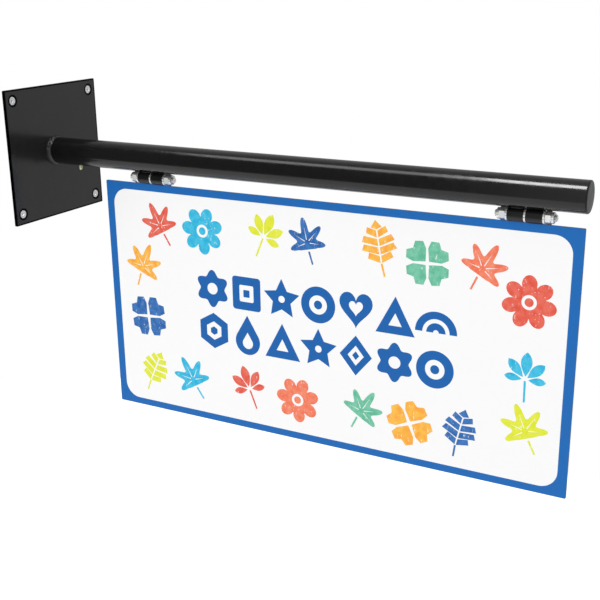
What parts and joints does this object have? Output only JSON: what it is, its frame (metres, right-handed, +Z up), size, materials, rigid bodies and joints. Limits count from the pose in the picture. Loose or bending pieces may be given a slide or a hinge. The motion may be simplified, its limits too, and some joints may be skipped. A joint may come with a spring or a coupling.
{
  "type": "projecting shop sign",
  "caption": "Projecting shop sign: wall plate, welded round arm and a two-sided panel that swings from barrel hinges.",
  "frame": {"origin": "centre of the wall plate's back face, on the arm's axis", "axes": "+X out from the wall along the arm, +Y towards the rear face of the panel, +Z up"},
  "size_m": [1.042, 0.25, 0.623],
  "materials": {
    "plate_coat": "satin black powder coat",
    "arm_coat": "satin black powder coat",
    "weld_coat": "satin black powder coat over a rough bead",
    "barrel_coat": "satin black powder coat",
    "cap_plastic": "fine-grained black moulding",
    "drain_brass": "bright, slightly dulled",
    "bush_nylon": "natural nylon",
    "ring_nylon": "nylon",
    "screw_zinc": "bright zinc plate",
    "hinge_zinc": "bright zinc plate",
    "panel_coat": "satin black coat",
    "border_print": "printed film, satin",
    "field_print": "printed film, satin"
  },
  "bodies": {
    "arm": {"wall_plate": "plate_coat", "wall_screws": "screw_zinc", "arm_tube": "arm_coat", "base_weld": "weld_coat", "arm_end_cap": "cap_plastic", "drain_screw": "drain_brass", "inner_arm_barrel": "barrel_coat", "inner_arm_barrel_weld": "weld_coat", "inner_arm_bush": "bush_nylon", "inner_hinge_stud": "hinge_zinc", "inner_wall_side_nut": "hinge_zinc", "inner_end_side_nut": "hinge_zinc", "inner_nut_rings": "ring_nylon", "inner_nut_washers": "hinge_zinc", "inner_middle_washer": "hinge_zinc", "outer_arm_barrel": "barrel_coat", "outer_arm_barrel_weld": "weld_coat", "outer_arm_bush": "bush_nylon", "outer_hinge_stud": "hinge_zinc", "outer_wall_side_nut": "hinge_zinc", "outer_end_side_nut": "hinge_zinc", "outer_nut_rings": "ring_nylon", "outer_nut_washers": "hinge_zinc", "outer_middle_washer": "hinge_zinc"},
    "panel": {"panel_plate": "panel_coat", "front_face": "border_print", "front_field": "field_print", "back_face": "border_print", "back_field": "field_print", "inner_panel_barrel": "barrel_coat", "inner_panel_barrel_weld": "weld_coat", "inner_panel_bush": "bush_nylon", "outer_panel_barrel": "barrel_coat", "outer_panel_barrel_weld": "weld_coat", "outer_panel_bush": "bush_nylon"}
  },
  "joints": [
    {"name": "panel_swing", "type": "hinge", "parent": "arm", "child": "panel", "pos_m": [0.581, 0, -0.0367], "axis": [1, 0, 0], "range_deg": [-130, 130]}
  ]
}
